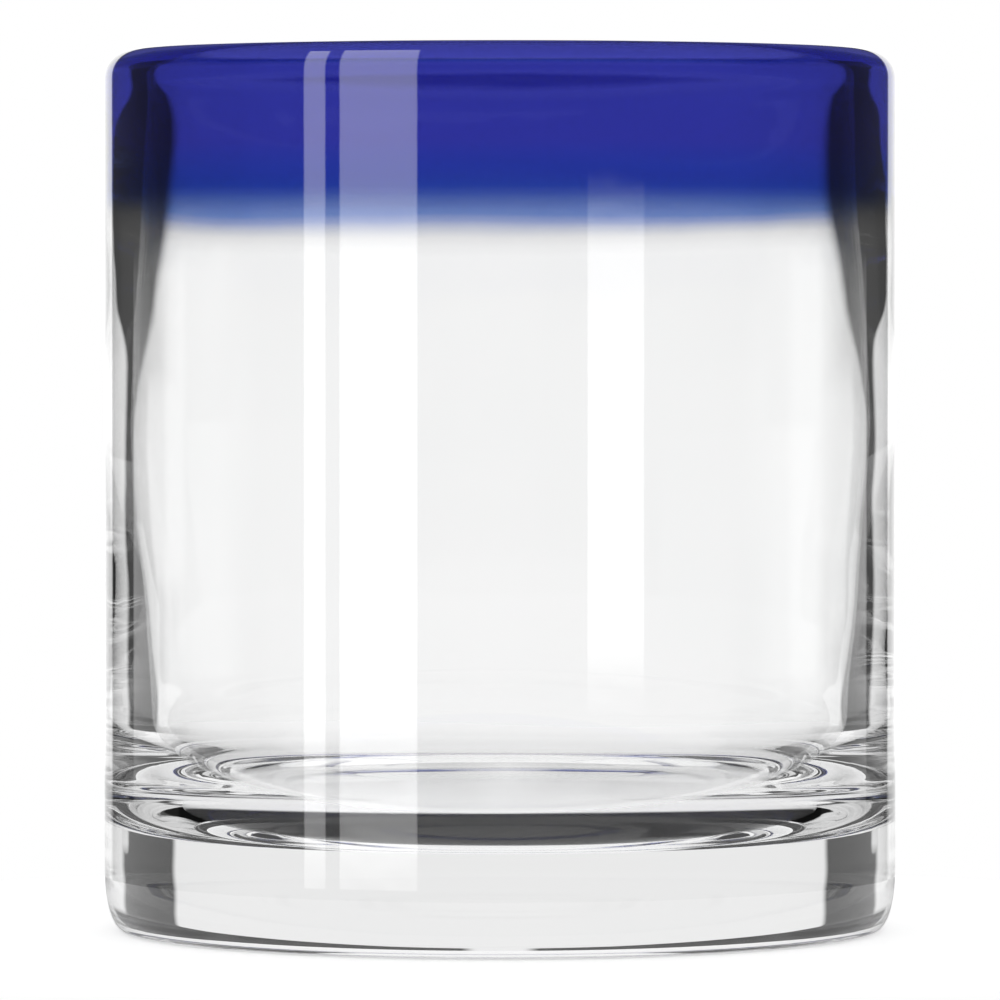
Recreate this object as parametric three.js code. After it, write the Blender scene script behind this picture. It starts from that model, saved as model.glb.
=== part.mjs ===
// A rocks glass: a heavy-based clear tumbler with a cobalt overlay cased round its lip.
// Millimetres, +Z up. The origin is the centre of the foot, on the table.
// Both pieces are revolved about Z, and their profiles are drawn as (radius, height).
import * as THREE from "three";

// Outside of the tumbler
const DIAMETER = 88.9; // across the straight outer wall
const HEIGHT = 98.6; // from the table to the top of the lip
const HEEL_INSET = 2.1; // how far the rounded heel draws in below the outer wall
const HEEL_HEIGHT = 6.4; // where the heel starts to draw in
const BEARING_WIDTH = 9; // flat ring that stands on the table
const PUSH_UP = 1.4; // rise of the hollow inside the bearing ring

// Inside of the tumbler
const BASE_THICKNESS = 10.1; // solid glass under the middle of the floor, from the table
const FLOOR_DISH = 0.4; // how much higher the floor is at its edge than in the middle
const FLOOR_RADIUS = 26; // the nearly flat part of the floor
const CORNER_WALL = 5.1; // the wall at the top of the round that rises from the floor
const CORNER_HEIGHT = 24; // where that round ends
const CORNER_LEAN = 0.06; // outward slope of the inside there
const BELLY_WALL = 2.95; // the wall where it is thinnest
const BELLY_HEIGHT = 58; // where that is
const BELLY_PULL = 12; // length of the nearly upright stretch above it
const RIM_WALL = 4.7; // the wall at the lip
const RIM_LEAN = 0.06; // inward slope of the inside below the lip, which leaves a soft bead
const RIM_PULL = 7; // length of that stretch

// Lip and cobalt overlay
const LIP_OUTER = 3.2; // radius of the lip's outer edge
const LIP_INNER = 1.2; // radius of its inner edge
const OVERLAY = 0.8; // thickness of the cobalt layer
const BAND_DEPTH = 20.4; // from the top of the lip to the lowest trace of cobalt
const FEATHER = 6; // height over which the layer thins out to nothing

// Facets
const FACETS = 60; // round the axis
const ROUND_STEPS = 6; // along each rounded stretch of a profile
const ROUND_PULL = 0.55; // length of a round's handles, as a share of its sides

const radius = DIAMETER / 2;
const bearingOuter = radius - HEEL_INSET;
const bearingInner = bearingOuter - BEARING_WIDTH;
const rimRadius = radius - RIM_WALL;
const lipOuterRadius = radius - LIP_OUTER;
const lipOuterHeight = HEIGHT - LIP_OUTER;
const lipInnerRadius = rimRadius + LIP_INNER;
const lipInnerHeight = HEIGHT - LIP_INNER;
const bandHeight = HEIGHT - BAND_DEPTH;
const seatRadius = radius - OVERLAY; // the clear wall under the overlay
const seatHeight = HEIGHT - OVERLAY; // the clear lip under the overlay

const point = (r, z) => new THREE.Vector2(r, z);
const line = (a, b) => ({ curve: new THREE.LineCurve(a, b), steps: 1 });
const bezier = (a, b, c, d) => ({ curve: new THREE.CubicBezierCurve(a, b, c, d), steps: ROUND_STEPS });

// A quarter of an ellipse, with its start in quarter turns from the +radius direction.
function quarter(centre, acrossRadius, upRadius, start) {
  const from = (start * Math.PI) / 2;
  const to = from + Math.PI / 2;
  const curve = new THREE.EllipseCurve(centre.x, centre.y, acrossRadius, upRadius, from, to);
  return { curve, steps: ROUND_STEPS };
}

// The points of a run of stretches, each starting where the last one ended.
function pointsOf(stretches) {
  const points = stretches.flatMap(({ curve, steps }) => curve.getPoints(steps).slice(1));
  return [stretches[0].curve.getPoint(0), ...points];
}

// A solid revolved about Z from an outline in (radius, height), drawn anticlockwise.
function revolve(name, outline, material) {
  const geometry = new THREE.LatheGeometry(outline, FACETS);
  geometry.rotateX(Math.PI / 2);
  const mesh = new THREE.Mesh(geometry, material);
  mesh.name = name;
  return mesh;
}

// The face where clear glass and cobalt are fused, from the feather edge on the outer wall,
// up under the overlay and over the lip to the feather edge at its inner side.
function bondFace() {
  const featherTop = bandHeight + FEATHER;
  const outerCentre = point(lipOuterRadius, lipOuterHeight);
  const innerCentre = point(lipInnerRadius, lipInnerHeight);
  return [
    line(point(radius, bandHeight), point(seatRadius, featherTop)),
    line(point(seatRadius, featherTop), point(seatRadius, lipOuterHeight)),
    quarter(outerCentre, LIP_OUTER - OVERLAY, LIP_OUTER - OVERLAY, 0),
    line(point(lipOuterRadius, seatHeight), point(lipInnerRadius, seatHeight)),
    quarter(innerCentre, LIP_INNER, LIP_INNER - OVERLAY, 1),
  ];
}

// The clear tumbler: foot, outer wall, bond face, bead, barrel-shaped inner wall and floor.
function clearBody() {
  const foot = [
    bezier(
      point(0, PUSH_UP),
      point(bearingInner / 2, PUSH_UP),
      point(bearingInner / 2, 0),
      point(bearingInner, 0),
    ),
    line(point(bearingInner, 0), point(bearingOuter, 0)),
    quarter(point(bearingOuter, HEEL_HEIGHT), HEEL_INSET, HEEL_HEIGHT, -1),
    line(point(radius, HEEL_HEIGHT), point(radius, bandHeight)),
  ];
  const lip = point(rimRadius, lipInnerHeight);
  const belly = point(radius - BELLY_WALL, BELLY_HEIGHT);
  const corner = point(radius - CORNER_WALL, CORNER_HEIGHT);
  const floorEdge = point(FLOOR_RADIUS, BASE_THICKNESS + FLOOR_DISH);
  const drop = (BELLY_HEIGHT - CORNER_HEIGHT) / 3;
  const turn = (CORNER_HEIGHT - floorEdge.y) * ROUND_PULL;
  const sweep = (corner.x - FLOOR_RADIUS) * ROUND_PULL;
  const inside = [
    bezier(
      lip,
      point(lip.x - RIM_PULL * RIM_LEAN, lip.y - RIM_PULL),
      point(belly.x, belly.y + BELLY_PULL),
      belly,
    ),
    bezier(
      belly,
      point(belly.x, belly.y - drop),
      point(corner.x + drop * CORNER_LEAN, corner.y + drop),
      corner,
    ),
    bezier(
      corner,
      point(corner.x - turn * CORNER_LEAN, corner.y - turn),
      point(FLOOR_RADIUS + sweep, floorEdge.y),
      floorEdge,
    ),
    bezier(
      floorEdge,
      point(FLOOR_RADIUS / 2, floorEdge.y),
      point(FLOOR_RADIUS / 2, BASE_THICKNESS),
      point(0, BASE_THICKNESS),
    ),
  ];
  const glass = new THREE.MeshStandardMaterial({
    color: 0xf2f6f6,
    roughness: 0.03,
    metalness: 0,
    transparent: true,
    opacity: 0.3,
  });
  return revolve("clear_glass_body", pointsOf([...foot, ...bondFace(), ...inside]), glass);
}

// The cobalt overlay: flush with the outer wall, carried over the lip and thinned to nothing at both edges.
function cobaltBand() {
  const outside = [
    line(point(radius, bandHeight), point(radius, lipOuterHeight)),
    quarter(point(lipOuterRadius, lipOuterHeight), LIP_OUTER, LIP_OUTER, 0),
    line(point(lipOuterRadius, HEIGHT), point(lipInnerRadius, HEIGHT)),
    quarter(point(lipInnerRadius, lipInnerHeight), LIP_INNER, LIP_INNER, 1),
  ];
  const bond = pointsOf(bondFace()).reverse().slice(1);
  const cobalt = new THREE.MeshStandardMaterial({
    color: 0x2e3397,
    roughness: 0.03,
    metalness: 0,
    transparent: true,
    opacity: 0.8,
  });
  return revolve("cobalt_rim_band", [...pointsOf(outside), ...bond], cobalt);
}

const rocksGlass = new THREE.Group();
rocksGlass.name = "rocks_glass";
rocksGlass.add(clearBody(), cobaltBand());

export default rocksGlass;
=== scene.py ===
import math

import bmesh
import bpy
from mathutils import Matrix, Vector
from mathutils.geometry import interpolate_bezier


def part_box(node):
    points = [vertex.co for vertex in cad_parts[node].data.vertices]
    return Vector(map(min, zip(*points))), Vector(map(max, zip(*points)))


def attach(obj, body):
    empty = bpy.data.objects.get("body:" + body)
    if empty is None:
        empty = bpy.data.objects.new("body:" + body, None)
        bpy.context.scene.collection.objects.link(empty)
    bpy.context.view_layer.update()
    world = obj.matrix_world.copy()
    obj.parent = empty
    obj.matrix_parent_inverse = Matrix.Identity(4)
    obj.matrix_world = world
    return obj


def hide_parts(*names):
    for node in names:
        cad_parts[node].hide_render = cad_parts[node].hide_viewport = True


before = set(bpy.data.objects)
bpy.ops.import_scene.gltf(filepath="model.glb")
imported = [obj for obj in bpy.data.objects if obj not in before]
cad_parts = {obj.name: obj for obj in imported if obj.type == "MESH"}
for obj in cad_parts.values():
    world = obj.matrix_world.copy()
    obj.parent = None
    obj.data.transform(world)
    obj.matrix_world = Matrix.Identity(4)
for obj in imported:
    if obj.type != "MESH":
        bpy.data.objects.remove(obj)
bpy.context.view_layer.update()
scene = bpy.context.scene
scene.view_settings.view_transform = "Standard"
mm = 0.001
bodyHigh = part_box("clear_glass_body")[1]
bandLow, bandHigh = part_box("cobalt_rim_band")

# sizes in millimetres
tumbler = {
    "radius": bodyHigh[0] / mm, "height": bandHigh[2] / mm,
    "heelIn": 2.1, "heelUp": 6.4, "bearing": 9.0, "pushUp": 1.4,
    "base": 10.1, "dish": 0.4, "floorRadius": 26.0,
    "cornerWall": 5.1, "cornerHeight": 24.0, "cornerLean": 0.06, "roundPull": 0.55,
    "bellyWall": 2.95, "bellyHeight": 58.0, "bellyPull": 12.0,
    "rimWall": 4.7, "rimLean": 0.06, "rimPull": 7.0,
    "lipOut": 3.2, "lipIn": 1.2,
    # faint waves of the inner wall: waves round it, rise in radians a millimetre, phase, size
    "ripples": [(3, 0.21, 0.4, 0.022), (5, -0.34, 1.9, 0.012), (2, 0.55, 2.7, 0.007)],
    "calmTop": 8.0, "calmFloor": 6.0,  # where the waves die away below the lip and above the floor
    "spacing": 1.0, "fewest": 10, "turns": 240, "weld": 0.002,  # of the mesh
}
overlay = {"low": bandLow[2] / mm, "thickness": 0.8, "feather": 6.0, "seam": 0.004}


# stretches of a profile, drawn as (radius, height), each a Bezier of four points
def straight(start, end):
    first, last = Vector(start), Vector(end)
    return first, first.lerp(last, 1 / 3), first.lerp(last, 2 / 3), last


def rounded(start, corner, end):
    pull = 0.5523  # handle length of a quarter circle
    first, turn, last = Vector(start), Vector(corner), Vector(end)
    return first, first.lerp(turn, pull), last.lerp(turn, pull), last


def bent(start, pullStart, pullEnd, end):
    return Vector(start), Vector(pullStart), Vector(pullEnd), Vector(end)


def lipPoints():
    radius, height = tumbler["radius"], tumbler["height"]
    rim = radius - tumbler["rimWall"]
    outer = Vector((radius - tumbler["lipOut"], height - tumbler["lipOut"]))
    inner = Vector((rim + tumbler["lipIn"], height - tumbler["lipIn"]))
    return rim, outer, inner


def outerStretches():
    radius, heelUp, pushUp = tumbler["radius"], tumbler["heelUp"], tumbler["pushUp"]
    ringOut = radius - tumbler["heelIn"]
    ringIn = ringOut - tumbler["bearing"]
    return [
        bent((0, pushUp), (ringIn / 2, pushUp), (ringIn / 2, 0), (ringIn, 0)),
        straight((ringIn, 0), (ringOut, 0)),
        rounded((ringOut, 0), (radius, 0), (radius, heelUp)),
        straight((radius, heelUp), (radius, overlay["low"])),
    ]


# the face where the two glasses are fused
def bondStretches(lift):
    rim, outer, inner = lipPoints()
    seat = tumbler["radius"] - overlay["thickness"] + lift
    crown = tumbler["height"] - overlay["thickness"] + lift
    low, full = overlay["low"], overlay["low"] + overlay["feather"]
    return [
        straight((tumbler["radius"], low), (seat, full)),
        straight((seat, full), (seat, outer.y)),
        rounded((seat, outer.y), (seat, crown), (outer.x, crown)),
        straight((outer.x, crown), (inner.x, crown)),
        rounded((inner.x, crown), (rim, crown), (rim, inner.y)),
    ]


def innerStretches():
    rim, _, inner = lipPoints()
    rimPull, lean = tumbler["rimPull"], tumbler["cornerLean"]
    belly, bellyZ = tumbler["radius"] - tumbler["bellyWall"], tumbler["bellyHeight"]
    corner, cornerZ = tumbler["radius"] - tumbler["cornerWall"], tumbler["cornerHeight"]
    floorEdge, floorZ = tumbler["floorRadius"], tumbler["base"] + tumbler["dish"]
    drop = (bellyZ - cornerZ) / 3
    turn = (cornerZ - floorZ) * tumbler["roundPull"]
    sweep = (corner - floorEdge) * tumbler["roundPull"]
    return [
        bent((rim, inner.y), (rim - rimPull * tumbler["rimLean"], inner.y - rimPull),
             (belly, bellyZ + tumbler["bellyPull"]), (belly, bellyZ)),
        bent((belly, bellyZ), (belly, bellyZ - drop),
             (corner + drop * lean, cornerZ + drop), (corner, cornerZ)),
        bent((corner, cornerZ), (corner - turn * lean, cornerZ - turn),
             (floorEdge + sweep, floorZ), (floorEdge, floorZ)),
        bent((floorEdge, floorZ), (floorEdge / 2, floorZ),
             (floorEdge / 2, tumbler["base"]), (0, tumbler["base"])),
    ]


def bandStretches():
    radius, height = tumbler["radius"], tumbler["height"]
    rim, outer, inner = lipPoints()
    return [
        straight((radius, overlay["low"]), (radius, outer.y)),
        rounded((radius, outer.y), (radius, height), (outer.x, height)),
        straight((outer.x, height), (inner.x, height)),
        rounded((inner.x, height), (rim, height), (rim, inner.y)),
    ]


def rippleInside(ring):
    low, high = tumbler["base"] + tumbler["dish"], tumbler["height"] - tumbler["lipIn"]
    for vert in ring.verts:
        height = vert.co.z / mm
        calm = min(1.0, (high - height) / tumbler["calmTop"], (height - low) / tumbler["calmFloor"])
        around = math.atan2(vert.co.y, vert.co.x)
        push = 0.0
        for waves, rise, phase, size in tumbler["ripples"]:
            push += size * math.sin(waves * around + rise * height + phase)
        away = Vector((vert.co.x, vert.co.y, 0.0)).normalized()
        vert.co += away * (push * max(0.0, calm) * mm)


def spinStretch(bm, stretch, slotIndex, ripple):
    knots = [Vector((point.x, 0.0, point.y)) * mm for point in stretch]
    length = sum((end - start).length for start, end in zip(knots, knots[1:]))
    count = max(tumbler["fewest"], math.ceil(length / (tumbler["spacing"] * mm)))
    ring = bmesh.new()
    verts = [ring.verts.new(point) for point in interpolate_bezier(*knots, count + 1)]
    edges = [ring.edges.new(pair) for pair in zip(verts, verts[1:])]
    bmesh.ops.spin(ring, geom=verts + edges, cent=(0, 0, 0), axis=(0, 0, 1),
                   angle=math.tau, steps=tumbler["turns"], use_merge=True)
    for face in ring.faces:
        face.material_index = slotIndex
    if ripple:
        rippleInside(ring)
    # one stretch at a time, because spinning inside a growing mesh is slow
    scrap = bpy.data.meshes.new("scrap")
    ring.to_mesh(scrap)
    ring.free()
    bm.from_mesh(scrap)
    bpy.data.meshes.remove(scrap)


def revolvedPiece(name, runs, materials):
    bm = bmesh.new()
    for slotIndex, stretches, ripple in runs:
        for stretch in stretches:
            spinStretch(bm, stretch, slotIndex, ripple)
    bmesh.ops.remove_doubles(bm, verts=bm.verts, dist=tumbler["weld"] * mm)
    bmesh.ops.recalc_face_normals(bm, faces=bm.faces)
    for face in bm.faces:
        face.smooth = True
    for edge in bm.edges:  # crisp where the polished outside meets the fused seam
        if len({face.material_index for face in edge.link_faces}) > 1:
            edge.smooth = False
    mesh = bpy.data.meshes.new(name)
    bm.to_mesh(mesh)
    bm.free()
    for material in materials:
        mesh.materials.append(material)
    piece = bpy.data.objects.new(name, mesh)
    scene.collection.objects.link(piece)
    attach(piece, "root")
    print(name, len(mesh.polygons), "faces")
    return piece


def setSocket(tree, socket, value):
    if isinstance(value, (int, float)):
        socket.default_value = value
    else:
        tree.links.new(value, socket)


def mathNode(tree, operation, *values):
    node = tree.nodes.new("ShaderNodeMath")
    node.operation = operation
    for socket, value in zip(node.inputs, values):
        setSocket(tree, socket, value)
    return node.outputs[0]


def switched(tree, chooser, off, on):
    node = tree.nodes.new("ShaderNodeMix")
    tree.links.new(chooser, node.inputs["Factor"])
    setSocket(tree, node.inputs["A"], off)
    setSocket(tree, node.inputs["B"], on)
    return node.outputs["Result"]


def edgeRamp(tree, value, start, end):
    node = tree.nodes.new("ShaderNodeMapRange")
    node.interpolation_type = "SMOOTHSTEP"
    node.inputs["From Min"].default_value = start
    node.inputs["From Max"].default_value = end
    tree.links.new(value, node.inputs["Value"])
    return node.outputs["Result"]


def fillRamp(ramp, stops):
    while len(ramp.elements) < len(stops):
        ramp.elements.new(1.0)
    for element, (place, colour) in zip(ramp.elements, stops):
        element.position = place
        element.color = (*colour, 1.0)


def noiseOn(tree, coords, scale, detail=2.0):
    noise = tree.nodes.new("ShaderNodeTexNoise")
    noise.inputs["Scale"].default_value = scale
    noise.inputs["Detail"].default_value = detail
    tree.links.new(coords.outputs["Object"], noise.inputs["Vector"])
    return noise.outputs["Fac"]


# polished glass with the faint waves that fire polishing leaves
def glassShader(name, settings):
    material = bpy.data.materials.new(name)
    material.use_nodes = True
    tree = material.node_tree
    shader = tree.nodes["Principled BSDF"]
    shader.inputs["Transmission Weight"].default_value = 1.0
    shader.inputs["IOR"].default_value = settings["ior"]
    shader.inputs["Roughness"].default_value = settings["roughness"]
    coords = tree.nodes.new("ShaderNodeTexCoord")
    bump = tree.nodes.new("ShaderNodeBump")
    bump.inputs["Strength"].default_value = settings["waveStrength"]
    bump.inputs["Distance"].default_value = settings["waveHeight"]
    tree.links.new(noiseOn(tree, coords, settings["waveScale"]), bump.inputs["Height"])
    tree.links.new(bump.outputs["Normal"], shader.inputs["Normal"])
    return material, tree, shader, coords


clearGlass = {
    "ior": 1.5, "roughness": 0.0,
    "tints": [(0.3, (0.985, 0.988, 0.988)), (0.7, (1.0, 1.0, 1.0))], "tintScale": 40.0,
    "waveScale": 110.0, "waveHeight": 0.00002, "waveStrength": 0.4,
}


def makeClearGlass():
    material, tree, shader, coords = glassShader("clearGlass", clearGlass)
    ramp = tree.nodes.new("ShaderNodeValToRGB")
    fillRamp(ramp.color_ramp, clearGlass["tints"])
    tree.links.new(noiseOn(tree, coords, clearGlass["tintScale"]), ramp.inputs["Fac"])
    tree.links.new(ramp.outputs["Color"], shader.inputs["Base Color"])
    return material


cobaltGlass = {
    "ior": 1.5, "roughness": 0.0,
    "waveScale": 110.0, "waveHeight": 0.00002, "waveStrength": 0.4,
    "wanderScale": 55.0, "wander": 0.0005,
    # colour of both walls together against height in millimetres; the neutral greys from 78.5 to 80.45 are a
    # painted grey shade under the band, and the blues above are the glass's own colour
    "stops": [
        (78.2, (1.0, 1.0, 1.0)), (78.5, (0.99, 0.99, 0.99)), (79.55, (0.88, 0.88, 0.88)),
        (80.45, (0.71, 0.71, 0.72)), (81.25, (0.36, 0.39, 0.50)), (82.15, (0.080, 0.125, 0.38)),
        (82.95, (0.013, 0.046, 0.32)), (83.9, (0.010, 0.034, 0.31)), (85.0, (0.010, 0.036, 0.33)),
        (86.5, (0.016, 0.034, 0.34)), (88.0, (0.027, 0.032, 0.34)), (96.1, (0.027, 0.032, 0.34)),
        (96.6, (0.0026, 0.0034, 0.17)), (97.4, (0.0020, 0.0026, 0.13)), (98.6, (0.0014, 0.0018, 0.09)),
    ],
}


def makeCobaltGlass():
    material, tree, shader, coords = glassShader("cobaltGlass", cobaltGlass)
    split = tree.nodes.new("ShaderNodeSeparateXYZ")
    tree.links.new(coords.outputs["Object"], split.inputs[0])
    # the soft lower edge wanders a little round the glass, by noise that swings about a half
    sway = mathNode(tree, "SUBTRACT", noiseOn(tree, coords, cobaltGlass["wanderScale"]), 0.5)
    wander = mathNode(tree, "MULTIPLY", sway, cobaltGlass["wander"])
    level = mathNode(tree, "ADD", split.outputs["Z"], wander)
    low, high = cobaltGlass["stops"][0][0], cobaltGlass["stops"][-1][0]
    place = tree.nodes.new("ShaderNodeMapRange")
    place.inputs["From Min"].default_value = low * mm
    place.inputs["From Max"].default_value = high * mm
    tree.links.new(level, place.inputs["Value"])
    ramp = tree.nodes.new("ShaderNodeValToRGB")
    fillRamp(ramp.color_ramp, [((z - low) / (high - low), colour) for z, colour in cobaltGlass["stops"]])
    tree.links.new(place.outputs["Result"], ramp.inputs["Fac"])
    tree.links.new(ramp.outputs["Color"], shader.inputs["Base Color"])
    return material


# the fused face between the two glasses has no surface of its own
def makeSeam():
    material = bpy.data.materials.new("fusedSeam")
    material.use_nodes = True
    tree = material.node_tree
    tree.nodes.clear()
    out = tree.nodes.new("ShaderNodeOutputMaterial")
    through = tree.nodes.new("ShaderNodeBsdfTransparent")
    tree.links.new(through.outputs[0], out.inputs["Surface"])
    return material


clear, cobalt, seam = makeClearGlass(), makeCobaltGlass(), makeSeam()
print("glass materials ready")
# each run has the place of its material, its stretches, and whether it is rippled
bodyRuns = [(0, outerStretches(), False), (1, bondStretches(0.0), False), (0, innerStretches(), True)]
bandRuns = [(0, bandStretches(), False), (1, bondStretches(overlay["seam"]), False)]
body = revolvedPiece("clearBody", bodyRuns, [clear, seam])
band = revolvedPiece("cobaltBand", bandRuns, [cobalt, seam])
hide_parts("clear_glass_body")
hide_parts("cobalt_rim_band")

# a white backdrop and white panels in a dim room, by azimuth from +Y towards +X and elevation,
# in degrees; soft is the width of an edge, and fade that of a panel's upper and lower ends
studio = {
    "dim": 0.075, "fill": 0.9,  # the dark of the room, and what lights the table
    "above": 0.9, "aboveSoft": 4.0,  # the pale ceiling
    "below": -20, "belowSoft": 1.03,  # all is white under this elevation
    # by how many faces of the glass the light has met: the backdrop, in rows of elevation and half
    # width, the panels to both sides of it, and where the ceiling starts
    "through": [
        {"faces": 2, "strength": 0.86, "soft": 2.0, "ceiling": 38, "rows": [  # through the solid base
            (-90, 60), (-25, 50), (-8, 42.3), (7, 42.3), (9, 3), (30, 3), (38, 60), (90, 60)],
         "panels": [
            {"azimuth": (60, 128), "elevation": (-95, -3.4), "soft": 2.0, "strength": 1.0},
            {"azimuth": (63, 128), "elevation": (-6, 7), "soft": 4.0, "strength": 1.0},
            {"azimuth": (74, 195), "elevation": (-95, 95), "soft": 4.0, "strength": 0.95}]},
        {"faces": 3, "strength": 1.0, "soft": 5.0, "ceiling": 38, "rows": [  # round inside the wall
            (-90, 60), (-25, 40), (-20, 30), (-15, 25), (-8, 32), (0, 34), (3, 34.5), (4.6, 32),
            (5.7, 27), (6.8, 20), (7.8, 15), (12, 15), (36, 17), (42, 60), (90, 60)],
         "panels": [
            {"azimuth": (50, 75), "elevation": (-14, 2.6), "soft": 3.0, "strength": 0.75},
            {"azimuth": (64, 195), "elevation": (-95, 95), "soft": 12.0, "strength": 0.75}]},
        {"faces": 4, "strength": 0.975, "soft": 4.0, "ceiling": 38, "rows": [  # across the hollow
            (-90, 60), (-25, 36), (-13, 29), (-5, 27), (-1, 26), (1, 23.5), (3, 19), (4.2, 17),
            (5.3, 15.4), (7, 15), (36, 17), (42, 60), (90, 60)],
         "panels": [
            {"azimuth": (64, 195), "elevation": (-95, 95), "soft": 12.0, "strength": 0.95}]},
        {"faces": 5, "strength": 1.0, "soft": 4.0, "ceiling": 38, "rows": [  # turned back once
            (-90, 60), (-12, 60), (-8, 0), (90, 0)],
         "panels": [
            {"azimuth": (85, 195), "elevation": (-95, 95), "soft": 20.0, "strength": 0.75}]},
        {"faces": 6, "strength": 1.0, "soft": 4.0, "ceiling": 54, "rows": [  # turned back more often
            (-90, 60), (-25, 36), (-13, 29), (-5, 27), (1, 26.5), (1.6, 25), (3, 15.3), (7, 15),
            (36, 17), (50, 25), (58, 60), (90, 60)],
         "panels": [
            {"azimuth": (25, 65), "elevation": (12, 36), "soft": 6.0, "strength": 0.75},
            {"azimuth": (60, 128), "elevation": (-95, -3.4), "soft": 2.0, "strength": 0.75},
            {"azimuth": (85, 195), "elevation": (-12, 9), "soft": 10.0, "strength": 0.6},
            {"azimuth": (128, 195), "elevation": (-95, -10), "soft": 14.0, "strength": 0.75},
            {"azimuth": (112, 195), "elevation": (42, 60), "soft": 6.0, "strength": 0.9}]},
    ],
    "gloss": [  # mirrored in the outside
        {"azimuth": (-26, 26), "elevation": (-30, 200), "soft": 6.0, "strength": 1.0},
        {"azimuth": (-26, 26), "elevation": (-3.6, 200), "soft": 1.0, "strength": 1.5},
        {"azimuth": (-156.4, -133.3), "elevation": (-4.2, 84), "soft": 0.8, "strength": 4.0},
        {"azimuth": (-128.8, -122.0), "elevation": (-4.2, 82), "soft": 0.8, "strength": 4.0},
        {"azimuth": (138.3, 155.0), "elevation": (-2.8, 0.45), "soft": 0.7, "strength": 3.0},
        {"azimuth": (62, 100), "elevation": (-3.0, 0.3), "soft": 20.0, "fade": 0.6, "strength": 1.6},
        {"azimuth": (70, 91), "elevation": (-3.0, 0.3), "soft": 14.0, "fade": 0.6, "strength": 2.5},
        {"azimuth": (47, 74), "elevation": (-3.2, -0.3), "soft": 2.0, "strength": 1.4},
        {"azimuth": (-100, -62), "elevation": (-3.0, 0.3), "soft": 20.0, "fade": 0.6, "strength": 1.6},
        {"azimuth": (-79, -65), "elevation": (-3.0, 0.3), "soft": 10.0, "fade": 0.6, "strength": 2.3},
        {"azimuth": (-74, -47), "elevation": (-3.2, -0.3), "soft": 2.0, "strength": 1.4},
    ],
}


def panelLight(tree, azimuth, elevation, panels):
    total = studio["dim"]
    for panel in panels:
        half = math.radians(panel["soft"]) / 2
        tip = math.radians(panel.get("fade", panel["soft"])) / 2
        west, east = (math.radians(side) for side in panel["azimuth"])
        low, high = (math.radians(end) for end in panel["elevation"])
        sides = mathNode(tree, "MINIMUM", edgeRamp(tree, azimuth, west - half, west + half),
                         edgeRamp(tree, azimuth, east + half, east - half))
        ends = mathNode(tree, "MINIMUM", edgeRamp(tree, elevation, low - tip, low + tip),
                        edgeRamp(tree, elevation, high + tip, high - tip))
        light = mathNode(tree, "MULTIPLY", mathNode(tree, "MULTIPLY", sides, ends), panel["strength"])
        total = mathNode(tree, "MAXIMUM", light, total)
    return total


def lightThrough(tree, azimuth, elevation, depth):
    aside = mathNode(tree, "ABSOLUTE", azimuth)
    place = tree.nodes.new("ShaderNodeMapRange")
    place.inputs["From Min"].default_value = -math.pi / 2
    place.inputs["From Max"].default_value = math.pi / 2
    tree.links.new(elevation, place.inputs["Value"])
    ceilingHalf = math.radians(studio["aboveSoft"]) / 2
    total = 0.0
    for backdrop in studio["through"]:
        ramp = tree.nodes.new("ShaderNodeValToRGB")
        widths = [((row + 90) / 180, (math.radians(width),) * 3) for row, width in backdrop["rows"]]
        fillRamp(ramp.color_ramp, widths)
        tree.links.new(place.outputs["Result"], ramp.inputs["Fac"])
        inside = mathNode(tree, "SUBTRACT", ramp.outputs["Color"], aside)
        half = math.radians(backdrop["soft"]) / 2
        light = mathNode(tree, "MULTIPLY", edgeRamp(tree, inside, -half, half), backdrop["strength"])
        light = mathNode(tree, "MAXIMUM", light, panelLight(tree, aside, elevation, backdrop["panels"]))
        top = math.radians(backdrop["ceiling"])
        ceiling = edgeRamp(tree, elevation, top - ceilingHalf, top + ceilingHalf)
        light = mathNode(tree, "MAXIMUM", light, mathNode(tree, "MULTIPLY", ceiling, studio["above"]))
        # Ray Depth is a whole number, and in the world one more than the faces met
        met = mathNode(tree, "GREATER_THAN", depth, backdrop["faces"] + 0.5)
        total = switched(tree, met, total, light)
    ground, groundHalf = math.radians(studio["below"]), math.radians(studio["belowSoft"]) / 2
    below = edgeRamp(tree, elevation, ground + groundHalf, ground - groundHalf)
    return mathNode(tree, "MAXIMUM", total, below)


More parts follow.
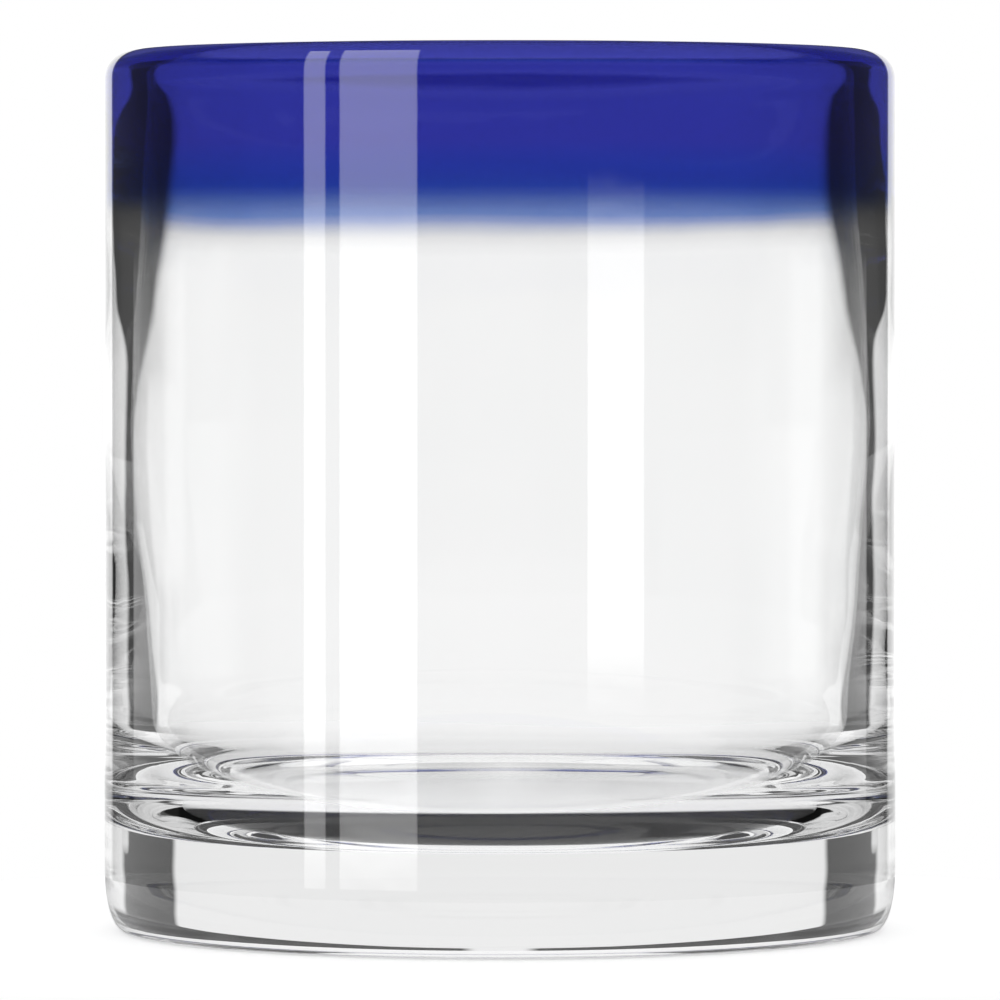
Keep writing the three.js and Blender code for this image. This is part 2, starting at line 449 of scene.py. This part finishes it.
def makeStudioWorld():
    world = bpy.data.worlds.new("studioWorld")
    scene.world = world
    world.use_nodes = True
    tree = world.node_tree
    background = tree.nodes["Background"]
    background.inputs["Color"].default_value = (1.0, 1.0, 1.0, 1.0)
    coords = tree.nodes.new("ShaderNodeTexCoord")
    split = tree.nodes.new("ShaderNodeSeparateXYZ")
    tree.links.new(coords.outputs["Generated"], split.inputs[0])
    azimuth = mathNode(tree, "ARCTAN2", split.outputs["X"], split.outputs["Y"])
    elevation = mathNode(tree, "ARCSINE", split.outputs["Z"])
    path = tree.nodes.new("ShaderNodeLightPath")
    through = lightThrough(tree, azimuth, elevation, path.outputs["Ray Depth"])
    outside = mathNode(tree, "LESS_THAN", path.outputs["Transmission Depth"], 0.5)
    # the panels lean in overhead, so that they stay upright in the round of the lip
    short = mathNode(tree, "SUBTRACT", 1.0, split.outputs["Y"])
    swing = mathNode(tree, "ARCTAN2", split.outputs["X"], short)
    halfTurn = mathNode(tree, "MULTIPLY", mathNode(tree, "SIGN", swing), math.pi)
    upright = mathNode(tree, "SUBTRACT", halfTurn, mathNode(tree, "MULTIPLY", swing, 2.0))
    span = mathNode(tree, "SQRT", mathNode(tree, "MULTIPLY", short, 2.0))
    rise = mathNode(tree, "ARCSINE", mathNode(tree, "DIVIDE", split.outputs["Z"], span))
    height = mathNode(tree, "MAXIMUM", elevation, mathNode(tree, "MULTIPLY", rise, 2.0))
    gloss = switched(tree, outside, studio["dim"], panelLight(tree, upright, height, studio["gloss"]))
    room = switched(tree, path.outputs["Is Glossy Ray"], studio["fill"], gloss)
    room = switched(tree, path.outputs["Is Transmission Ray"], room, through)
    room = switched(tree, path.outputs["Is Camera Ray"], room, 1.0)
    tree.links.new(room, background.inputs["Strength"])


# a pale table, with a ring of painted shade in its colour under the solid base's edge, in metres
table = {
    "radius": 0.095, "segments": 128, "drop": 0.0002, "albedo": 0.88, "roughness": 0.9,
    # its glow: seen from the room, seen through the glass, and a brighter painted glow there from under the
    # foot
    "glow": 0.42, "glowThrough": 0.26, "glowUnder": 0.66, "underReach": 0.042, "underSoft": 0.002,
    # the painted shade, a dark colour in a ring, seen by way of three faces: in at the wall, mirrored in the
    # floor and out of the foot
    "shade": 0.20, "shadeFaces": 3, "shadeRing": (0.0165, 0.0200, 0.0380, 0.0392),
}


def makeTable():
    bm = bmesh.new()
    bmesh.ops.create_circle(bm, cap_ends=True, segments=table["segments"], radius=table["radius"])
    mesh = bpy.data.meshes.new("table")
    bm.to_mesh(mesh)
    bm.free()
    top = bpy.data.objects.new("table", mesh)
    top.location.z = -table["drop"]
    scene.collection.objects.link(top)
    material = bpy.data.materials.new("paleTable")
    material.use_nodes = True
    tree = material.node_tree
    shader = tree.nodes["Principled BSDF"]
    shader.inputs["Roughness"].default_value = table["roughness"]
    shader.inputs["Specular IOR Level"].default_value = 0.0
    shader.inputs["Emission Color"].default_value = (1.0, 1.0, 1.0, 1.0)
    coords = tree.nodes.new("ShaderNodeTexCoord")
    length = tree.nodes.new("ShaderNodeVectorMath")
    length.operation = "LENGTH"
    tree.links.new(coords.outputs["Object"], length.inputs[0])
    reach = length.outputs["Value"]
    path = tree.nodes.new("ShaderNodeLightPath")
    # painted shade: inside the ring the table's colour and glow turn dark for light that has met three faces
    early = mathNode(tree, "LESS_THAN", path.outputs["Ray Depth"], table["shadeFaces"] - 0.5)
    late = mathNode(tree, "GREATER_THAN", path.outputs["Ray Depth"], table["shadeFaces"] + 0.5)
    starts, full, leaves, ends = table["shadeRing"]
    lit = mathNode(tree, "MAXIMUM", edgeRamp(tree, reach, full, starts), edgeRamp(tree, reach, leaves, ends))
    lit = mathNode(tree, "MAXIMUM", lit, mathNode(tree, "MAXIMUM", early, late))
    tree.links.new(switched(tree, lit, table["shade"], table["albedo"]), shader.inputs["Base Color"])
    # painted light: under the foot the table glows brighter where it is seen through the glass
    under = edgeRamp(tree, reach, table["underReach"] + table["underSoft"], table["underReach"])
    through = mathNode(tree, "MULTIPLY", path.outputs["Is Transmission Ray"],
                       switched(tree, under, table["glowThrough"], table["glowUnder"]))
    plain = mathNode(tree, "MULTIPLY", path.outputs["Is Camera Ray"], table["glow"])
    seen = mathNode(tree, "MAXIMUM", plain, through)
    tree.links.new(mathNode(tree, "MULTIPLY", seen, lit), shader.inputs["Emission Strength"])
    mesh.materials.append(material)


makeStudioWorld()
makeTable()
print("studio ready")

# metres and degrees, with the lens and the sensor in millimetres
cameraPlan = {"distance": 0.930, "height": 0.0735, "tilt": 1.5636, "lens": 297.9, "sensor": 36.0, "far": 20.0}
camera = bpy.data.objects.new("camera", bpy.data.cameras.new("camera"))
camera.data.sensor_width = cameraPlan["sensor"]
camera.data.lens = cameraPlan["lens"]
camera.data.clip_end = cameraPlan["far"]
camera.location = (0.0, -cameraPlan["distance"], cameraPlan["height"])
camera.rotation_euler = (math.radians(90 - cameraPlan["tilt"]), 0.0, 0.0)
scene.collection.objects.link(camera)
scene.camera = camera
# light crosses many walls of glass before it leaves
scene.cycles.max_bounces = 24
scene.cycles.transmission_bounces = 24
scene.cycles.glossy_bounces = 16
scene.cycles.transparent_max_bounces = 32
print("camera ready")
